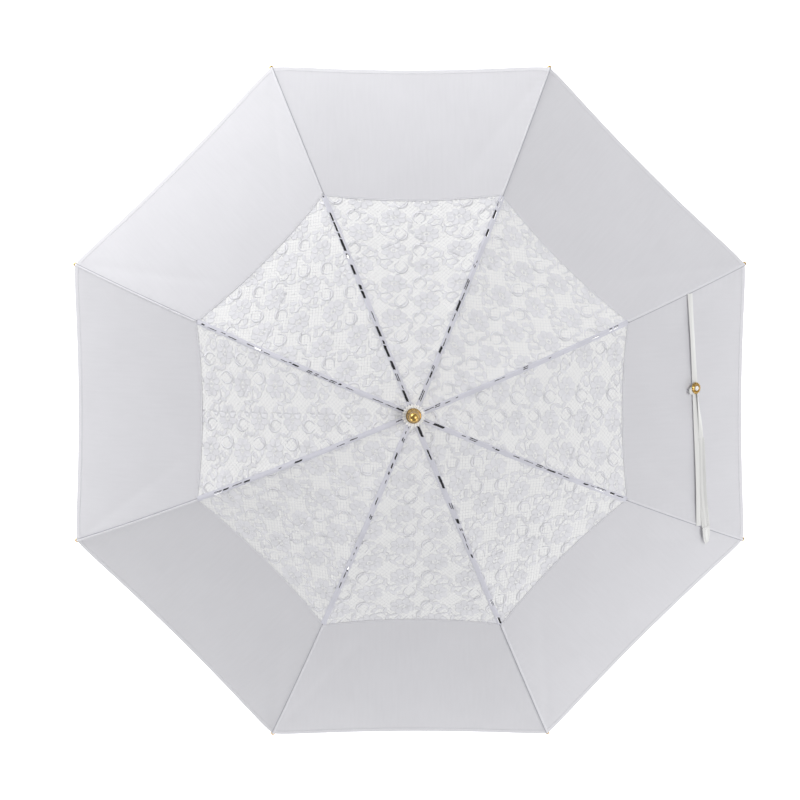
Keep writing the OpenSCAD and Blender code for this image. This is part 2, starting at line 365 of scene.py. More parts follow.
def woven_cloth(name, colour, pitch, roughness=0.62, sheen=0.15, space="UV"):
    """Fine plain-woven or sateen cloth with slightly uneven threads."""
    material, tree, shader = new_finish(name, roughness, sheen=sheen)
    vector = coordinates(tree, space)
    weave = combined(tree, threads(tree, vector, pitch), threads(tree, vector, pitch, "Y"))
    cloudy = noise(tree, vector, 18.0)
    slub = noise(tree, coordinates(tree, space, (300, 24, 24)), 1.0, 2.0)
    mixed = combined(tree, combined(tree, cloudy, slub, "ADD"), 0.5)
    colours = tones(tree, mixed, (0.3, shaded(colour, 0.975)), (0.7, shaded(colour, 1.02)))
    tree.links.new(colours, shader.inputs["Base Color"])
    roughened(tree, shader, slub, roughness - 0.06, roughness + 0.08)
    bumped(tree, shader, weave, 0.25, 0.12 * MM)
    return material


def stitched_thread(name, colour):
    """Twisted thread of lace and stitching."""
    material, tree, shader = new_finish(name, 0.7, sheen=0.1)
    vector = coordinates(tree, "Object")
    fibre = noise(tree, vector, 900.0, 2.0)
    patches = noise(tree, vector, 45.0)
    colours = tones(tree, patches, (0.3, shaded(colour, 0.94)), (0.7, shaded(colour, 1.03)))
    tree.links.new(colours, shader.inputs["Base Color"])
    bumped(tree, shader, fibre, 0.5, 0.2 * MM)
    return material


def enamelled_steel(name, colour):
    """Black stove enamel over steel: faint orange peel and rubbed dull patches."""
    material, tree, shader = new_finish(name, 0.5)
    shader.inputs["Specular IOR Level"].default_value = 0.3
    vector = coordinates(tree, "Object")
    worn = noise(tree, vector, 60.0, 5.0, 0.65)
    peel = noise(tree, vector, 1400.0, 2.0)
    colours = tones(tree, worn, (0.35, colour), (0.68, shaded(colour, 1.7)), (0.8, shaded(colour, 3.2)))
    tree.links.new(colours, shader.inputs["Base Color"])
    roughened(tree, shader, worn, 0.42, 0.62)
    bumped(tree, shader, peel, 0.15, 0.05 * MM)
    return material


def moulded_nylon(name, colour):
    """Fine-grained black nylon with soft mould texture."""
    material, tree, shader = new_finish(name, 0.48)
    vector = coordinates(tree, "Object")
    grain = noise(tree, vector, 1100.0, 3.0)
    flow = noise(tree, coordinates(tree, "Object", (1, 1, 0.25)), 120.0)
    colours = tones(tree, flow, (0.35, colour), (0.7, shaded(colour, 1.5)))
    tree.links.new(colours, shader.inputs["Base Color"])
    roughened(tree, shader, flow, 0.4, 0.6)
    bumped(tree, shader, grain, 0.3, 0.08 * MM)
    return material


def polished_brass(name, colour):
    """Lacquered brass with turning lines and faint tarnish."""
    material, tree, shader = new_finish(name, 0.2, metallic=1.0, coat=0.2)
    vector = coordinates(tree, "Object")
    turning = threads(tree, vector, 0.35 * MM, "Z", 0.4)
    tarnish = noise(tree, vector, 180.0, 4.0, 0.6)
    colours = tones(tree, tarnish, (0.35, shaded(colour, 0.78)), (0.6, colour), (0.8, shaded(colour, 1.12)))
    tree.links.new(colours, shader.inputs["Base Color"])
    roughened(tree, shader, tarnish, 0.16, 0.36)
    bumped(tree, shader, turning, 0.08, 0.03 * MM)
    return material


def brushed_spring(name, colour):
    """Bright spring steel brushed along its length."""
    material, tree, shader = new_finish(name, 0.3, metallic=1.0)
    brush = noise(tree, coordinates(tree, "Object", (40, 40, 1)), 90.0, 3.0)
    colours = tones(tree, brush, (0.3, shaded(colour, 0.8)), (0.7, shaded(colour, 1.1)))
    tree.links.new(colours, shader.inputs["Base Color"])
    roughened(tree, shader, brush, 0.2, 0.42)
    bumped(tree, shader, brush, 0.15, 0.03 * MM)
    return material


def lacquered_wood(name, colour):
    """Pale birch with long grain, growth rings and a satin lacquer."""
    material, tree, shader = new_finish(name, 0.35, coat=0.45)
    long_grain = coordinates(tree, "Object", (1, 1, 0.06))
    rings = noise(tree, long_grain, 170.0, 4.0, 0.6)
    pores = noise(tree, coordinates(tree, "Object", (1, 1, 0.03)), 1300.0, 3.0)
    mixed = combined(tree, combined(tree, rings, 0.55), combined(tree, pores, 0.45), "ADD")
    colours = tones(
        tree,
        mixed,
        (0.3, shaded(colour, 0.72)),
        (0.5, shaded(colour, 0.94)),
        (0.7, shaded(colour, 1.06)),
    )
    tree.links.new(colours, shader.inputs["Base Color"])
    roughened(tree, shader, pores, 0.28, 0.45)
    bumped(tree, shader, pores, 0.12, 0.05 * MM)
    return material


def lacquered_pearl(name, colour):
    """Glossy pearl enamel with a faint cloudy sheen."""
    material, tree, shader = new_finish(name, 0.15, coat=0.6)
    cloudy = noise(tree, coordinates(tree, "Object"), 260.0, 3.0)
    colours = tones(tree, cloudy, (0.3, shaded(colour, 0.9)), (0.7, shaded(colour, 1.05)))
    tree.links.new(colours, shader.inputs["Base Color"])
    roughened(tree, shader, cloudy, 0.1, 0.25)
    bumped(tree, shader, cloudy, 0.05, 0.05 * MM)
    return material


# ---- settings ----------------------------------------------------------------------------


def colour_property(name, description, default):
    """A colour setting."""
    return bpy.props.FloatVectorProperty(
        name=name, description=description, default=default, subtype="COLOR", size=3, min=0, max=1
    )


def length_property(name, description, default):
    """A length setting in metres."""
    return bpy.props.FloatProperty(
        name=name, description=description, default=default, subtype="DISTANCE", unit="LENGTH", min=0
    )


class ParasolCanopySettings(bpy.types.PropertyGroup):
    """Sizes and colours of the cloth and lace."""

    cloth_thickness: length_property("Cloth thickness", "Thickness of the opaque cloth", 0.4 * MM)
    lace_column: length_property("Lace column", "Distance between columns of flowers", 38 * MM)
    lace_repeat: length_property("Lace repeat", "Distance between flowers in a column", 45 * MM)
    net_pitch: length_property("Net pitch", "Width of a mesh of the lace's net", 3.6 * MM)
    net_thread: length_property("Net thread", "Thickness of the net's thread", 0.24 * MM)
    hem_width: length_property("Hem width", "Width of the hem at the rim", 6.5 * MM)
    stitch_pitch: length_property("Stitch pitch", "Distance from stitch to stitch", 3.4 * MM)
    cloth_colour: colour_property("Cloth colour", "Opaque cloth at the rim", (0.685, 0.682, 0.715))
    lining_colour: colour_property("Lining colour", "Plain lining under the lace", (0.95, 0.95, 0.95))
    lace_colour: colour_property("Lace colour", "Thread of the lace", (0.81, 0.81, 0.845))
    seam_colour: colour_property("Seam colour", "Folded lace along the seams", (0.68, 0.68, 0.75))


class ParasolTrimSettings(bpy.types.PropertyGroup):
    """Sizes and colours of the frame's finishes and trim."""

    pleats: bpy.props.IntProperty(name="Pleats", description="Pleats of the rosette", default=22, min=8)
    steel_colour: colour_property("Steel colour", "Black enamel", (0.022, 0.022, 0.025))
    nylon_colour: colour_property("Nylon colour", "Crown and runner", (0.03, 0.03, 0.034))
    brass_colour: colour_property("Brass colour", "Ferrule, tips and snap", (0.64, 0.42, 0.13))
    spring_colour: colour_property("Spring colour", "Catches", (0.62, 0.63, 0.65))
    wood_colour: colour_property("Wood colour", "Handle", (0.62, 0.44, 0.26))
    strap_colour: colour_property("Strap colour", "Satin strap", (0.80, 0.80, 0.79))


class ParasolStageSettings(bpy.types.PropertyGroup):
    """Camera, lights and floor."""

    distance: length_property("Camera distance", "From the rim's middle to the camera", 5.0)
    lens: bpy.props.FloatProperty(name="Lens", description="Focal length in millimetres", default=188.0)
    tilt: bpy.props.FloatProperty(
        name="Tilt", description="Camera's lean towards +Y", default=math.radians(4.7), subtype="ANGLE"
    )
    roll_side: bpy.props.FloatProperty(
        name="Side lean", description="Camera's lean towards -X", default=math.radians(1.0), subtype="ANGLE"
    )
    ambient: bpy.props.FloatProperty(name="Ambient", description="Strength of the plain room", default=0.35)


# ---- canopy ------------------------------------------------------------------------------

INNER_KEEP = 0.165
OUTER_KEEP = 0.165
LACE_GAP = 1.3 * MM
CLOTH_LIFT = -0.2 * MM
LINING_LIFT = -0.7 * MM


def sheet_area(obj):
    """Area of a sheet before its thickness."""
    return sum(face.area for face in obj.data.polygons)


class PARASOL_OT_outer_cloth(bpy.types.Operator):
    """Makes the opaque cloth between the lace and the rim, with its hems"""

    bl_idname = "parasol.outer_cloth"
    bl_label = "Outer cloth"

    def execute(self, context):
        settings = context.scene.parasol_canopy
        cloth = woven_cloth("opaque_sateen", settings.cloth_colour, 0.7 * MM)
        hem = woven_cloth("folded_hem", shaded(settings.cloth_colour, 1.05), 0.7 * MM)
        for rib in range(1, RIBS + 1):
            body = f"outer_rib_{rib}"
            edge = self.hem_bands(rib, settings, hem)
            folds_with(edge, rib, body, OUTER_KEEP)
            bm = bmesh.new()
            for gore, side in sides_of(rib):
                half_sheet(bm, gore, side, lace_p, rim_p, 26, 76, self.lift)
            panel = thickened(finished(bm, f"outer_cloth_{rib}", cloth), settings.cloth_thickness)
            folds_with(panel, rib, body, OUTER_KEEP)
            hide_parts(f"outer_panel_{rib}")
        return {"FINISHED"}

    @staticmethod
    def lift(p, q):
        return CLOTH_LIFT + outer_lift(p, q)

    def hem_bands(self, rib, settings, material):
        """The folded hem at the rim and the fold that covers the lace's edge."""
        bm = bmesh.new()
        lace_fold = 2.8 * MM
        for gore, side in sides_of(rib):
            half_sheet(
                bm, gore, side, lambda s: rim_p(s) - settings.hem_width, rim_p, 26, 3,
                lambda p, q: self.lift(p, q) + 0.25 * MM,
            )
            half_sheet(
                bm, gore, side, lambda s: lace_p(s) - 0.4 * MM, lambda s: lace_p(s) + lace_fold, 26, 2,
                lambda p, q: self.lift(p, q) + 0.2 * MM,
            )
        return thickened(finished(bm, f"hem_{rib}", material), 1.2 * settings.cloth_thickness)


class PARASOL_OT_lining(bpy.types.Operator):
    """Makes the plain lining under the lace, which stops short of the seams"""

    bl_idname = "parasol.lining"
    bl_label = "Lining"

    def execute(self, context):
        settings = context.scene.parasol_canopy
        material = woven_cloth("plain_lining", settings.lining_colour, 0.6 * MM, 0.7)
        for rib in range(1, RIBS + 1):
            for zone, start, end, rows, keep in (
                ("inner", lambda s: CROWN_P, hinge_p, 60, INNER_KEEP),
                ("outer", hinge_p, lambda s: lace_p(s) + 2 * MM, 30, OUTER_KEEP),
            ):
                bm = bmesh.new()
                for gore, side in sides_of(rib):
                    half_sheet(bm, gore, side, start, end, 16, rows, level(LINING_LIFT), SEAM_GAP)
                name = f"lining_{zone}_{rib}"
                sheet = thickened(finished(bm, name, material), settings.cloth_thickness)
                folds_with(sheet, rib, f"{zone}_rib_{rib}", keep)
                if zone == "inner":
                    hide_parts(f"lace_panel_{rib}")
        return {"FINISHED"}


# ---- lace --------------------------------------------------------------------------------


def petal_into(bm, place, width, height, thickness=0.17 * MM, segments=10):
    """Adds a filled petal with a raised cord round it."""
    made = bmesh.ops.create_circle(bm, cap_ends=True, radius=1, segments=segments)
    face = made["verts"][0].link_faces[0]
    for vert in made["verts"]:
        pinch = 1 - 0.22 * vert.co.y
        vert.co = Vector((vert.co.x * width / 2 * pinch, vert.co.y * height / 2, 0))
    raised_plate(bm, face, thickness, 0.75 * MM, place)


def raised_plate(bm, face, thickness, border, place):
    """Turns a flat face into a closed plate with a raised border, then puts it in place."""
    if face.normal.z < 0:
        face.normal_flip()
    made = bmesh.ops.extrude_face_region(bm, geom=[face], use_keep_orig=True)
    top = [item for item in made["geom"] if isinstance(item, bmesh.types.BMFace)]
    verts = [item for item in made["geom"] if isinstance(item, bmesh.types.BMVert)]
    bmesh.ops.translate(bm, verts=verts, vec=(0, 0, thickness))
    bmesh.ops.inset_region(bm, faces=top, thickness=border, depth=-0.45 * thickness)
    region = {vert for vert in verts}
    grow = list(region)
    while grow:
        vert = grow.pop()
        for edge in vert.link_edges:
            other = edge.other_vert(vert)
            if other not in region:
                region.add(other)
                grow.append(other)
    bmesh.ops.transform(bm, matrix=place, verts=list(region))


def cord_into(bm, path, width, thickness=0.18 * MM, steps=14):
    """Adds a flat cord along a path of one share, with a width that is a function of the share."""
    made = bmesh.ops.create_grid(bm, x_segments=1, y_segments=steps, size=0.5)
    for vert in made["verts"]:
        side, t = vert.co.x * 2, vert.co.y + 0.5
        ahead = path(min(t + 0.01, 1)) - path(max(t - 0.01, 0))
        across = Vector((ahead.y, -ahead.x, 0)).normalized()
        vert.co = path(t) + across * side * width(t) / 2
    faces = list({face for vert in made["verts"] for face in vert.link_faces})
    top = bmesh.ops.extrude_face_region(bm, geom=faces, use_keep_orig=True)["geom"]
    raised = [item for item in top if isinstance(item, bmesh.types.BMVert)]
    bmesh.ops.translate(bm, verts=raised, vec=(0, 0, thickness))


def placed(x, y, turn=0.0):
    """Moves a motif to x, y in metres and turns it."""
    return Matrix.Translation((x, y, 0)) @ Matrix.Rotation(turn, 4, "Z")


def flower_motif():
    """One flower with its drop, leaves and scrolls, in a cell of the lace."""
    bm = bmesh.new()
    for k in range(8):
        turn = (k + 0.5) * math.pi / 4
        x, y = 10.6 * MM * math.cos(turn), 7.9 * MM * math.sin(turn)
        petal_into(bm, placed(x, y, math.atan2(y, x) - math.pi / 2), 9.4 * MM, 9.6 * MM)
    petal_into(bm, placed(0, 0), 3.0 * MM, 3.0 * MM, 0.5 * MM, 8)

    def ring(t):
        return Vector((4.6 * MM * math.cos(2 * math.pi * t), 3.5 * MM * math.sin(2 * math.pi * t), 0))

    cord_into(bm, ring, lambda t: 0.9 * MM, steps=16)

    def drop(t):
        turn = -math.pi / 2 + 2 * math.pi * (t * 0.86 + 0.07)
        pinch = 1 - 0.25 * max(math.sin(turn + math.pi), 0)
        return Vector((8.5 * MM + 7.4 * MM * pinch * math.cos(turn), 22.5 * MM + 7.8 * MM * math.sin(turn), 0))

    cord_into(bm, drop, lambda t: MM * (1.0 + 2.8 * math.sin(math.pi * t) ** 2), steps=18)
    leaves = (
        (-5.5, 18.0, 0.9, 5.4, 11.5),
        (-11.5, 22.5, 2.2, 5.0, 11.0),
        (-17.5, 17.0, 0.3, 4.6, 10.0),
        (18.4, 3.5, -0.9, 4.8, 9.5),
        (-2.0, 28.0, 1.7, 4.6, 9.5),
        (19.0, 12.5, 0.6, 4.2, 8.5),
    )
    for x, y, turn, width, height in leaves:
        petal_into(bm, placed(x * MM, y * MM, turn), width * MM, height * MM, segments=8)

    def long_scroll(t):
        return Vector((-19 * MM + 17 * MM * t, 8 * MM + 9 * MM * t + 2.6 * MM * math.sin(2 * math.pi * t), 0))

    def short_scroll(t):
        return Vector((2 * MM + 12 * MM * t, -13 * MM - 6 * MM * t + 2 * MM * math.sin(math.pi * 1.6 * t), 0))

    cord_into(bm, long_scroll, lambda t: MM * (1.0 + 1.2 * math.sin(math.pi * t)), steps=12)
    cord_into(bm, short_scroll, lambda t: MM * (1.0 + 1.2 * math.sin(math.pi * t)), steps=10)
    bmesh.ops.recalc_face_normals(bm, faces=bm.faces)
    mesh = bpy.data.meshes.new("flower_motif")
    bm.to_mesh(mesh)
    bm.free()
    return mesh


def net_motif(settings):
    """The lace's net, as a flat sheet of slanted square meshes that covers one gore."""
    bm = bmesh.new()
    length = LACE_P + 10 * MM
    count = math.ceil(length * 1.45 / settings.net_pitch)
    size = count * settings.net_pitch / 2
    place = Matrix.Translation((0, length / 2, 0)) @ Matrix.Rotation(math.pi / 4, 4, "Z")
    bmesh.ops.create_grid(bm, x_segments=count, y_segments=count, size=size, matrix=place)
    spare = 6 * MM
    outside = [
        vert
        for vert in bm.verts
        if not -spare < vert.co.y < length or abs(vert.co.x) > half_width(max(vert.co.y, 0)) + spare
    ]
    bmesh.ops.delete(bm, geom=outside, context="VERTS")
    bmesh.ops.wireframe(
        bm, faces=bm.faces, thickness=settings.net_thread, use_replace=True, use_boundary=True,
        use_even_offset=True,
    )
    mesh = bpy.data.meshes.new("net_motif")
    bm.to_mesh(mesh)
    bm.free()
    return mesh


def clipped(bm, point, normal):
    """Cuts away what lies on the normal's side of a plane, and closes the cut."""
    geometry = bm.verts[:] + bm.edges[:] + bm.faces[:]
    cut = bmesh.ops.bisect_plane(
        bm, geom=geometry, dist=1e-7, plane_co=point, plane_no=normal, clear_outer=True
    )["geom_cut"]
    edges = [item for item in cut if isinstance(item, bmesh.types.BMEdge) and item.is_boundary]
    bmesh.ops.holes_fill(bm, edges=edges, sides=0)


class PARASOL_OT_lace(bpy.types.Operator):
    """Makes the floral lace of each gore and cuts it at the seams, middle lines and hinges"""

    bl_idname = "parasol.lace"
    bl_label = "Lace"

    def execute(self, context):
        settings = context.scene.parasol_canopy
        material = stitched_thread("lace_thread", settings.lace_colour)
        flower, net = flower_motif(), net_motif(settings)
        rng = random.Random(8)
        gores = {}
        for gore in range(RIBS):
            phase = (rng.uniform(0, settings.lace_column), rng.uniform(0, settings.lace_repeat))
            gores[gore] = self.gore_lace(gore, phase, flower, net, settings)
        for rib in range(1, RIBS + 1):
            for zone, keep in (("inner", INNER_KEEP), ("outer", OUTER_KEEP)):
                bm = bmesh.new()
                for gore, side in sides_of(rib):
                    self.add_half(bm, gores[gore % RIBS], gore, side, rib, zone)
                lace = finished(bm, f"lace_{zone}_{rib}", material)
                body = f"{zone}_rib_{rib}"
                folds_with(lace, rib, body, keep)
                lining = bpy.data.objects[f"lining_{zone}_{rib}"]
                self.declare(lining, lace, zone, body)
        for mesh in [flower, net, *gores.values()]:
            bpy.data.meshes.remove(mesh)
        return {"FINISHED"}

    @staticmethod
    def declare(lining, lace, zone, body):
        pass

    @staticmethod
    def gore_lace(gore, phase, flower, net, settings):
        """A whole gore of lace in its place, as a mesh."""
        bm = bmesh.new()
        reach = 26 * MM
        columns = math.ceil(half_width(LACE_P) / settings.lace_column) + 1
        rows = math.ceil(LACE_P / settings.lace_repeat) + 2
        for column in range(-columns, columns + 1):
            flip = -1 if column % 2 else 1
            for row in range(-1, rows):
                x = column * settings.lace_column + phase[0] - settings.lace_column / 2
                y = (row + (column % 2) / 2) * settings.lace_repeat + phase[1]
                if y > LACE_P + reach or abs(x) > half_width(max(y, 0)) + reach:
                    continue
                before = len(bm.verts)
                bm.from_mesh(flower)
                bm.verts.ensure_lookup_table()
                place = Matrix.Translation((x, y, 0)) @ Matrix.Diagonal((flip, flip, 1, 1))
                bmesh.ops.transform(bm, matrix=place, verts=bm.verts[before:])
        bm.from_mesh(net)
        clipped(bm, (0, LACE_P, 0), (0, 1, 0))
        clipped(bm, (0, CROWN_P, 0), (0, -1, 0))
        for vert in bm.verts:
            p, q = vert.co.y, vert.co.x
            share = min(abs(q) / max(half_width(p), 1e-6), 1.0)
            hollow = LACE_HOLLOW * (1 - share * share) * (p / LACE_P) ** 2
            vert.co = on_gore(gore, p - hollow, q, vert.co.z + LINING_LIFT + 0.12 * MM)
        mesh = bpy.data.meshes.new("gore_lace")
        bm.to_mesh(mesh)
        bm.free()
        return mesh

    @staticmethod
    def add_half(bm, mesh, gore, side, rib, zone):
        """Adds the half of a gore's lace that belongs to one zone of a rib."""
        part = bmesh.new()
        part.from_mesh(mesh)
        middle = Vector((-math.sin(gore * STEP), math.cos(gore * STEP), 0))
        clipped(part, (0, 0, 0), middle * -side)
        clipped(part, across_rib(rib) * -side * LACE_GAP, across_rib(rib) * side)
        a = rib_azimuth(rib)
        out = Vector((math.cos(a), math.sin(a), 0))
        clipped(part, out * HINGE_R, out if zone == "inner" else -out)
        half = bpy.data.meshes.new("half_lace")
        part.to_mesh(half)
        part.free()
        bm.from_mesh(half)
        bpy.data.meshes.remove(half)


# ---- seams and stitching -----------------------------------------------------------------


# How often the seam's band is open over a rib, and how often it is open across the whole rib
WINDOWS = {3: (0.9, 0.7), 2: (0.7, 0.3), 7: (0.7, 0.3), 8: (0.7, 0.1), 5: (0.4, 0.0), 1: (0.4, 0.0)}


def seam_point(rib, p, t, lift):
    """Point beside a rib's seam: length p along it, t across it, raised by lift."""
    gore, side = sides_of(rib)[0] if t >= 0 else sides_of(rib)[1]
    q = side * (half_width(p) - abs(t) * math.cos(HALF * math.sin(p / DOME_R)))
    return on_gore(gore, p, q, lift)


class PARASOL_OT_seams(bpy.types.Operator):
    """Makes the dense seam bands of the lace with their windows, the piped seams of the cloth and a thin dark line
    of painted shadow beside each piped seam
    """

    bl_idname = "parasol.seams"
    bl_label = "Seams"

    def execute(self, context):
        settings = context.scene.parasol_canopy
        band = stitched_thread("seam_lace", settings.seam_colour)
        piping = woven_cloth("seam_piping", shaded(settings.cloth_colour, 1.08), 0.7 * MM, space="Object")
        # Darker seam colour for a thin line of painted shadow on one side of each piped seam
        fold = stitched_thread("seam_fold_cloth", shaded(settings.seam_colour, 0.62))
        for rib in range(1, RIBS + 1):
            rng = random.Random(100 + rib)
            hinge = DOME_R * math.asin(HINGE_R / DOME_R)
            for zone, start, end, keep in (
                ("inner", CROWN_P, hinge, INNER_KEEP),
                ("outer", hinge, LACE_P, OUTER_KEEP),
            ):
                obj = self.band(rib, zone, start, end, rng, band)
                folds_with(obj, rib, f"{zone}_rib_{rib}", 0.9)
            self.piping(f"seam_piping_{rib}", rib, 0.0, 1.2 * MM, piping)
            # A thin dark tube beside the piping: painted shadow of the seam
            self.piping(f"seam_fold_{rib}", rib, -1.5 * MM, 0.5 * MM, fold)
        return {"FINISHED"}

    @staticmethod
    def band(rib, zone, start, end, rng, material):
        """A band of folded lace over the rib, open where windows show the rib."""
        edges = (-4.3, -1.7, -0.5, 0.5, 1.7, 2.4)
        columns = len(edges) - 1
        rows = round((end - start) / (1.6 * MM))
        jitter = [[rng.uniform(-0.25, 0.25) for _ in range(columns + 1)] for _ in range(rows + 1)]
        bm = bmesh.new()

        def place(f, t):
            column, row = round(f * columns), round(t * rows)
            wobble = jitter[row][column] * MM if 0 < row < rows else 0.0
            crown = 0.25 * MM * math.sin(math.pi * f)
            slant = 0.5 * edges[column] * MM if 0 < row < rows else 0.0
            return seam_point(rib, start + (end - start) * t + slant, edges[column] * MM + wobble, crown)

        grid_into(bm, columns, rows, place)
        bm.faces.ensure_lookup_table()
        openness, wide = WINDOWS.get(rib, (0.55, 0.04))
        opened = []
        row = rng.randint(1, 4)
        while row < rows - 1:
            length = rng.randint(2, 8)
            if rng.random() < openness:
                cells = rng.choice(((1,), (1, 2), (2,), (1, 3)))
                if rng.random() < wide:
                    cells, length = (1, 2, 3), length + 2
                for step in range(row, min(row + length, rows - 1)):
                    opened += [bm.faces[step * columns + cell] for cell in cells]
            row += length + rng.randint(1, 4)
        bmesh.ops.delete(bm, geom=opened, context="FACES")
        bmesh.ops.recalc_face_normals(bm, faces=bm.faces)
        for face in bm.faces:
            if face.normal.z < 0:
                face.normal_flip()
        return thickened(finished(bm, f"seam_band_{zone}_{rib}", material), 0.35 * MM)

    @staticmethod
    def piping(name, rib, beside, radius, material):
        """A narrow piped fold beside the opaque cloth's seam, from the lace to the rib's tip; in a dark material it
        is a line of painted shadow.
        """
        bm = bmesh.new()
        from_a, to_a = (LACE_P - 1 * MM) / DOME_R, (RIM_P - TIP_BARE) / DOME_R
        out = Vector((math.cos(rib_azimuth(rib)), math.sin(rib_azimuth(rib)), 0))
        centre = Vector((0, 0, DOME_Z))
        made = bmesh.ops.create_circle(bm, cap_ends=True, radius=radius, segments=10)
        up = out * math.sin(from_a) + Vector((0, 0, math.cos(from_a)))
        start = centre + DOME_R * up
        for vert in made["verts"]:
            vert.co = start + across_rib(rib) * (vert.co.x + beside) + up * vert.co.y * 0.6
        steps = 48
        bmesh.ops.spin(
            bm, geom=bm.faces[:], cent=centre, axis=across_rib(rib), angle=to_a - from_a, steps=steps
        )
        bmesh.ops.recalc_face_normals(bm, faces=bm.faces)
        obj = finished(bm, name, material)
        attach(obj, f"outer_rib_{rib}")


class PARASOL_OT_stitching(bpy.types.Operator):
    """Makes the rows of stitches on the hems"""

    bl_idname = "parasol.stitching"
    bl_label = "Stitching"

    def execute(self, context):
        settings = context.scene.parasol_canopy
        material = stitched_thread("sewing_thread", shaded(settings.cloth_colour, 1.02))
        for rib in range(1, RIBS + 1):
            bm = bmesh.new()
            for gore, side in sides_of(rib):
                inset = settings.hem_width - 1.2 * MM
                self.row(bm, gore, side, lambda s: rim_p(s) - inset, settings.stitch_pitch, 0.15 * MM)
                self.row(bm, gore, side, lambda s: lace_p(s) + 1.9 * MM, settings.stitch_pitch, 0.35 * MM)
            obj = finished(bm, f"hem_stitches_{rib}", material, smooth=False)
            folds_with(obj, rib, f"outer_rib_{rib}", OUTER_KEEP)
        return {"FINISHED"}

    @staticmethod
    def row(bm, gore, side, line, pitch, lift):
        """A row of stitches along an edge, from the middle line to the seam."""
        width = half_width(line(1.0)) - 2.5 * MM
        count = int(width / pitch)
        for k in range(count):
            q = (k + 0.5) * pitch
            share = q / half_width(line(1.0))
            ahead = (q + pitch / 4) / half_width(line(1.0))
            here = on_gore(gore, line(share), side * q, CLOTH_LIFT + lift)
            there = on_gore(gore, line(ahead), side * (q + pitch / 4), CLOTH_LIFT + lift)
            along = (there - here).normalized()
            up = Vector((here.x, here.y, here.z - DOME_Z)).normalized()
            across = up.cross(along).normalized()
            turn = Matrix((along, across, along.cross(across))).transposed().to_4x4()
            size = Matrix.Diagonal((0.66 * pitch, 0.42 * MM, 0.34 * MM, 1))
            bmesh.ops.create_cube(bm, size=1, matrix=Matrix.Translation(here) @ turn @ size)


# ---- rosette and strap -------------------------------------------------------------------


class PARASOL_OT_rosette(bpy.types.Operator):
    """Makes the pleated cloth collar under the ferrule"""

    bl_idname = "parasol.rosette"
    bl_label = "Rosette"

    def execute(self, context):
        trim, canopy = context.scene.parasol_trim, context.scene.parasol_canopy
        material = woven_cloth("rosette_cloth", shaded(canopy.lining_colour, 1.0), 0.6 * MM, space="Object")
        low, high = ROSETTE_BOX
        outer, inner = high.x, 5.4 * MM
        bm = bmesh.new()
        segments = trim.pleats * 8

        def place(f, t):
            turn = 2 * math.pi * f
            wave = math.cos(trim.pleats * turn)
            radius = inner + (outer - inner) * t * (1 - 0.09 * (1 - wave) * t)
            depth = (high.z - low.z) * (0.28 + 0.34 * t)
            z = low.z + 0.5 * MM + depth * (0.5 + 0.5 * wave) * t**0.5 + 1.0 * MM * (1 - t)
            return Vector((radius * math.cos(turn), radius * math.sin(turn), z))

        grid_into(bm, segments, 8, place)
        bmesh.ops.remove_doubles(bm, verts=bm.verts, dist=1e-6)
        bmesh.ops.recalc_face_normals(bm, faces=bm.faces)
        if sum(face.normal.z for face in bm.faces) < 0:
            bmesh.ops.reverse_faces(bm, faces=bm.faces)
        obj = thickened(finished(bm, "rosette_pleats", material), 0.35 * MM)
        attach(obj, "root")
        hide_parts("rosette")
        return {"FINISHED"}


# Middle of the snap, which the strap's two strands pass
STRAP_X = round((SNAP_BOX[0].x + SNAP_BOX[1].x) / 2, 4)
STRAP_TILT = 0.69
SNAP_Y = 0.022


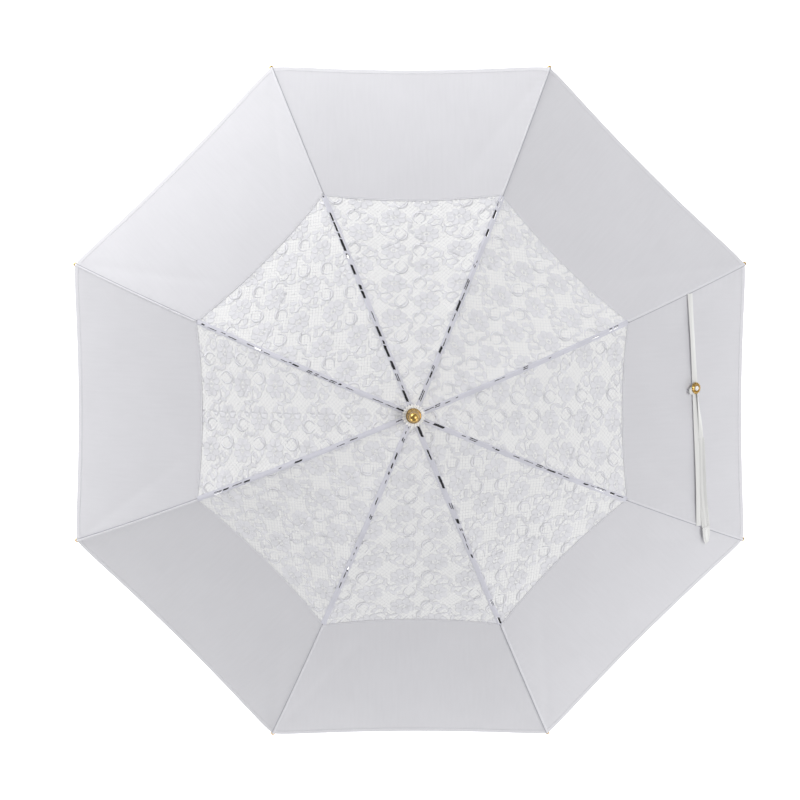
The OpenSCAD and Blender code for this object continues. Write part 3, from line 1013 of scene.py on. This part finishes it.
class PARASOL_OT_strap(bpy.types.Operator):
    """Makes the closing strap: a satin band, its twisted lace-edged strand and the press snap"""

    bl_idname = "parasol.strap"
    bl_label = "Strap"

    def execute(self, context):
        trim = context.scene.parasol_trim
        satin = woven_cloth("strap_satin", trim.strap_colour, 0.5 * MM, 0.38, 0.2)
        frill = stitched_thread("strap_lace", shaded(trim.strap_colour, 0.97))
        brass = bpy.data.materials["polished_brass"]
        band = self.strand("strap_band", satin, self.band_line, self.band_width, self.band_turn, 60)
        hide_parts("strap")
        strand = self.strand("strap_strand", satin, self.strand_line, self.strand_width, self.strand_turn, 60)
        edging = self.edging(frill)
        snap, button = self.snap(brass), self.button(lacquered_pearl("pearl_button", (0.9, 0.9, 0.88)))
        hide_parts("strap_snaps")
        socket = self.socket(frill)
        for obj in (band, strand, edging, snap, button, socket):
            folds_with(obj, 1, "outer_rib_1", 0.08)
        for sheet, length, pieces in ((band, 0.28, [snap, button, socket]), (strand, 0.184, [edging])):
            area = sheet_area(sheet)
            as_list(pieces)
        return {"FINISHED"}

    @staticmethod
    def band_line(t):
        """The satin band, from the upper seam down to the lower seam."""
        y = 0.134 - 0.276 * t
        return on_canopy(STRAP_X - 0.0065 + 0.013 * t + 0.002 * math.sin(math.pi * t), y, 1.6 * MM)

    @staticmethod
    def band_width(t):
        """The band's width."""
        return 7.4 * MM

    @staticmethod
    def strand_width(t):
        """The strand's width: it widens downward and ends in a point."""
        return MM * (5.0 + 4.6 * t) * min(1, 0.25 + (1 - t) / 0.06)

    @staticmethod
    def band_turn(t):
        """The band's lean out of the cloth, in radians."""
        return -0.08 + 0.16 * math.sin(3 * math.pi * t)

    @staticmethod
    def strand_line(t):
        """The free strand, from the snap to its end below the lower seam."""
        y = 0.016 - 0.180 * t
        sway = 0.0016 * math.sin(2.2 * math.pi * t)
        return on_canopy(STRAP_X + 0.003 + 0.014 * t + sway, y, (3.6 - 0.8 * t) * MM)

    @staticmethod
    def strand_turn(t):
        """The strand's twist, in radians."""
        return -1.15 * math.sin(1.3 * math.pi * (1 - t)) * (1 - t)

    @staticmethod
    def strand_axes(line, turn, t):
        """Middle of a strand at share t, with its directions across and out of its cloth."""
        along = (line(min(t + 0.01, 1)) - line(max(t - 0.01, 0))).normalized()
        across = along.cross(Vector((math.sin(STRAP_TILT), 0, math.cos(STRAP_TILT)))).normalized()
        up = across.cross(along)
        lean = turn(t)
        return line(t), across * math.cos(lean) + up * math.sin(lean), up * math.cos(lean) - across * math.sin(lean)

    def strand(self, name, material, line, width, turn, rows):
        """A ribbon along a line, turned about it."""
        bm = bmesh.new()
        uv = bm.loops.layers.uv.verify()
        columns = 6

        def place(f, t):
            centre, across, up = self.strand_axes(line, turn, t)
            bow = up * 0.5 * MM * math.sin(math.pi * f)
            return centre + across * (f - 0.5) * width(t) + bow

        verts = grid_into(bm, columns, rows, place)
        for k, vert in enumerate(verts):
            for loop in vert.link_loops:
                loop[uv].uv = (k % (columns + 1) / columns * width(0.5), k // (columns + 1) / rows * 0.28)
        for face in bm.faces:
            face.normal_update()
        if sum(face.normal.z for face in bm.faces) < 0:
            bmesh.ops.reverse_faces(bm, faces=bm.faces)
        return thickened(finished(bm, name, material), 0.5 * MM, 0.0)

    def edging(self, material):
        """Rows of small lace scallops along both edges of the free strand, and at its point."""
        bm = bmesh.new()
        count = 44
        for k in range(count):
            t = 0.3 + 0.7 * (k + 0.5) / count
            centre, across, up = self.strand_axes(self.strand_line, self.strand_turn, t)
            for side in (-1, 0, 1):
                spot = centre + across * side * 0.46 * self.strand_width(t) + up * 0.4 * MM
                turn = Matrix((across, up.cross(across), up)).transposed().to_4x4()
                size = (2.6 + 2.2 * t) * MM
                place = Matrix.Translation(spot) @ turn @ Matrix.Rotation(-0.6 * side, 4, "Z")
                petal_into(bm, place, size, size * 1.15, 0.3 * MM, 8)
        bmesh.ops.recalc_face_normals(bm, faces=bm.faces)
        return finished(bm, "strap_edging", material)

    @staticmethod
    def snap_place(y):
        """Place and tilt of a fitting on the strap."""
        return Matrix.Translation(on_canopy(STRAP_X, y, 0)) @ Matrix.Rotation(STRAP_TILT, 4, "Y")

    def snap(self, material):
        """The press snap's cap: a rim with a ring of prongs."""
        bm = bmesh.new()
        base = self.snap_place(SNAP_Y) @ Matrix.Translation((-1.0 * MM, 0, 4.2 * MM))
        bmesh.ops.create_cone(
            bm, cap_ends=True, segments=40, radius1=7.0 * MM, radius2=6.2 * MM, depth=1.3 * MM, matrix=base
        )
        prongs = 14
        for k in range(prongs):
            turn = 2 * math.pi * k / prongs
            spot = Matrix.Translation((5.0 * MM * math.cos(turn), 5.0 * MM * math.sin(turn), 0.8 * MM))
            size = Matrix.Diagonal((1.7 * MM, 0.8 * MM, 0.9 * MM, 1))
            place = base @ spot @ Matrix.Rotation(turn, 4, "Z") @ size
            bmesh.ops.create_icosphere(bm, subdivisions=2, radius=1, matrix=place)
        return finished(bm, "strap_snap", material)

    def button(self, material):
        """The snap's domed middle."""
        bm = bmesh.new()
        base = self.snap_place(SNAP_Y) @ Matrix.Translation((-1.0 * MM, 0, 4.9 * MM))
        size = Matrix.Diagonal((3.0 * MM, 3.0 * MM, 1.9 * MM, 1))
        bmesh.ops.create_uvsphere(bm, u_segments=32, v_segments=16, radius=1, matrix=base @ size)
        return finished(bm, "strap_button", material)

    def socket(self, material):
        """The snap's white socket, on the band beside it."""
        bm = bmesh.new()
        base = self.snap_place(SNAP_Y - 0.003) @ Matrix.Translation((-7.6 * MM, 0, 3.0 * MM))
        made = bmesh.ops.create_circle(bm, cap_ends=True, segments=28, radius=4.4 * MM)
        face = made["verts"][0].link_faces[0]
        raised_plate(bm, face, 1.4 * MM, 1.3 * MM, base)
        bmesh.ops.recalc_face_normals(bm, faces=bm.faces)
        return finished(bm, "strap_socket", material)


# ---- finishes of the frame ---------------------------------------------------------------


class PARASOL_OT_frame_finish(bpy.types.Operator):
    """Gives every frame piece its finish"""

    bl_idname = "parasol.frame_finish"
    bl_label = "Frame finishes"

    def execute(self, context):
        trim = context.scene.parasol_trim
        steel = enamelled_steel("black_enamel", trim.steel_colour)
        nylon = moulded_nylon("black_nylon_grain", trim.nylon_colour)
        brass = polished_brass("polished_brass", trim.brass_colour)
        spring = brushed_spring("brushed_spring_steel", trim.spring_colour)
        wood = lacquered_wood("lacquered_birch", trim.wood_colour)
        finishes = {
            "shaft": steel, "inner_rib": steel, "outer_rib": steel, "stretcher": steel,
            "crown": nylon, "runner": nylon, "ferrule": brass, "handle_collar": brass,
            "handle_cap": brass, "rib_tip": brass, "top_catch": spring, "bottom_catch": spring,
            "handle": wood,
        }
        for name, obj in frame["nodes"].items():
            kind = name.rstrip("0123456789").rstrip("_")
            if kind in finishes:
                obj.data.materials.clear()
                obj.data.materials.append(finishes[kind])
        return {"FINISHED"}


# ---- stage -------------------------------------------------------------------------------


class PARASOL_OT_stage(bpy.types.Operator):
    """Makes the floor, the soft lights and the camera"""

    bl_idname = "parasol.stage"
    bl_label = "Stage"

    # Azimuth and height in degrees, size in metres and power in watts of each softbox
    SOFTBOXES = (
        (135, 14, 1.2, 40),
        (115, 14, 1.2, 17),
        (225, 14, 1.2, 20),
        (315, 14, 1.2, 13),
        (0, 55, 1.6, 42),
    )

    def execute(self, context):
        settings = context.scene.parasol_stage
        self.floor()
        self.room(context.scene, settings.ambient)
        for number, (azimuth, height, size, power) in enumerate(self.SOFTBOXES):
            self.softbox(f"softbox_{number + 1}", azimuth, height, size, power)
        self.camera(context.scene, settings)
        context.scene.view_settings.view_transform = "Standard"
        return {"FINISHED"}

    @staticmethod
    def floor():
        """A wide plain pale floor under the handle's end."""
        bm = bmesh.new()
        bmesh.ops.create_grid(bm, x_segments=1, y_segments=1, size=30)
        material, tree, shader = new_finish("pale_floor", 0.85)
        shader.inputs["Base Color"].default_value = (0.9, 0.9, 0.9, 1)
        shader.inputs["Emission Color"].default_value = (1, 1, 1, 1)
        shader.inputs["Emission Strength"].default_value = 0.9
        floor = finished(bm, "floor", material)

    @staticmethod
    def room(scene, strength):
        """The plain room round the object."""
        world = bpy.data.worlds.new("plain_room")
        world.use_nodes = True
        background = world.node_tree.nodes["Background"]
        background.inputs["Color"].default_value = (1, 1, 1, 1)
        background.inputs["Strength"].default_value = strength
        scene.world = world

    @staticmethod
    def softbox(name, azimuth, height, size, power):
        """A square soft light round the canopy that points at it."""
        data = bpy.data.lights.new(name, "AREA")
        data.size = size
        data.energy = power
        light = bpy.data.objects.new(name, data)
        a, e = math.radians(azimuth), math.radians(height)
        away = Vector((math.cos(a) * math.cos(e), math.sin(a) * math.cos(e), math.sin(e)))
        light.location = Vector((0, 0, APEX_Z - DOME_RISE / 2)) + away * 3.2
        light.rotation_euler = away.to_track_quat("Z", "Y").to_euler()
        bpy.context.scene.collection.objects.link(light)

    @staticmethod
    def camera(scene, settings):
        """The camera, almost straight above the canopy, with +Y up in its picture."""
        data = bpy.data.cameras.new("camera")
        data.lens = settings.lens
        data.sensor_width = 36
        data.clip_end = 100
        camera = bpy.data.objects.new("camera", data)
        aim = Vector((-0.0124, 0.0029, APEX_Z - DOME_RISE))
        away = Vector((-math.sin(settings.roll_side), math.sin(settings.tilt), 1)).normalized()
        right = Vector((0, 1, 0)).cross(away).normalized()
        up = away.cross(right)
        turn = Matrix((right, up, away)).transposed().to_4x4()
        camera.matrix_world = Matrix.Translation(aim + away * settings.distance) @ turn
        scene.collection.objects.link(camera)
        scene.camera = camera


# ---- panel and registration --------------------------------------------------------------


OPERATORS = (
    PARASOL_OT_frame_finish,
    PARASOL_OT_outer_cloth,
    PARASOL_OT_lining,
    PARASOL_OT_lace,
    PARASOL_OT_seams,
    PARASOL_OT_stitching,
    PARASOL_OT_rosette,
    PARASOL_OT_strap,
    PARASOL_OT_stage,
)


class PARASOL_PT_panel(bpy.types.Panel):
    """Sizes, colours and makers of the parasol"""

    bl_idname = "PARASOL_PT_panel"
    bl_label = "Lace parasol"
    bl_space_type = "VIEW_3D"
    bl_region_type = "UI"
    bl_category = "Parasol"

    def draw(self, context):
        for name, group in SETTINGS.items():
            settings = getattr(context.scene, name)
            for prop in group.__annotations__:
                self.layout.prop(settings, prop)
        for operator in OPERATORS:
            self.layout.operator(operator.bl_idname)


SETTINGS = {
    "parasol_canopy": ParasolCanopySettings,
    "parasol_trim": ParasolTrimSettings,
    "parasol_stage": ParasolStageSettings,
}


def register():
    for cls in (*SETTINGS.values(), *OPERATORS, PARASOL_PT_panel):
        bpy.utils.register_class(cls)
    for name, group in SETTINGS.items():
        setattr(bpy.types.Scene, name, bpy.props.PointerProperty(type=group))


def unregister():
    for name in SETTINGS:
        delattr(bpy.types.Scene, name)
    for cls in reversed((*SETTINGS.values(), *OPERATORS, PARASOL_PT_panel)):
        bpy.utils.unregister_class(cls)


def main():
    """Registers the add-on and makes every piece in order."""
    register()
    for operator in OPERATORS:
        group, name = operator.bl_idname.split(".")
        getattr(getattr(bpy.ops, group), name)()


if __name__ == "__main__":
    main()
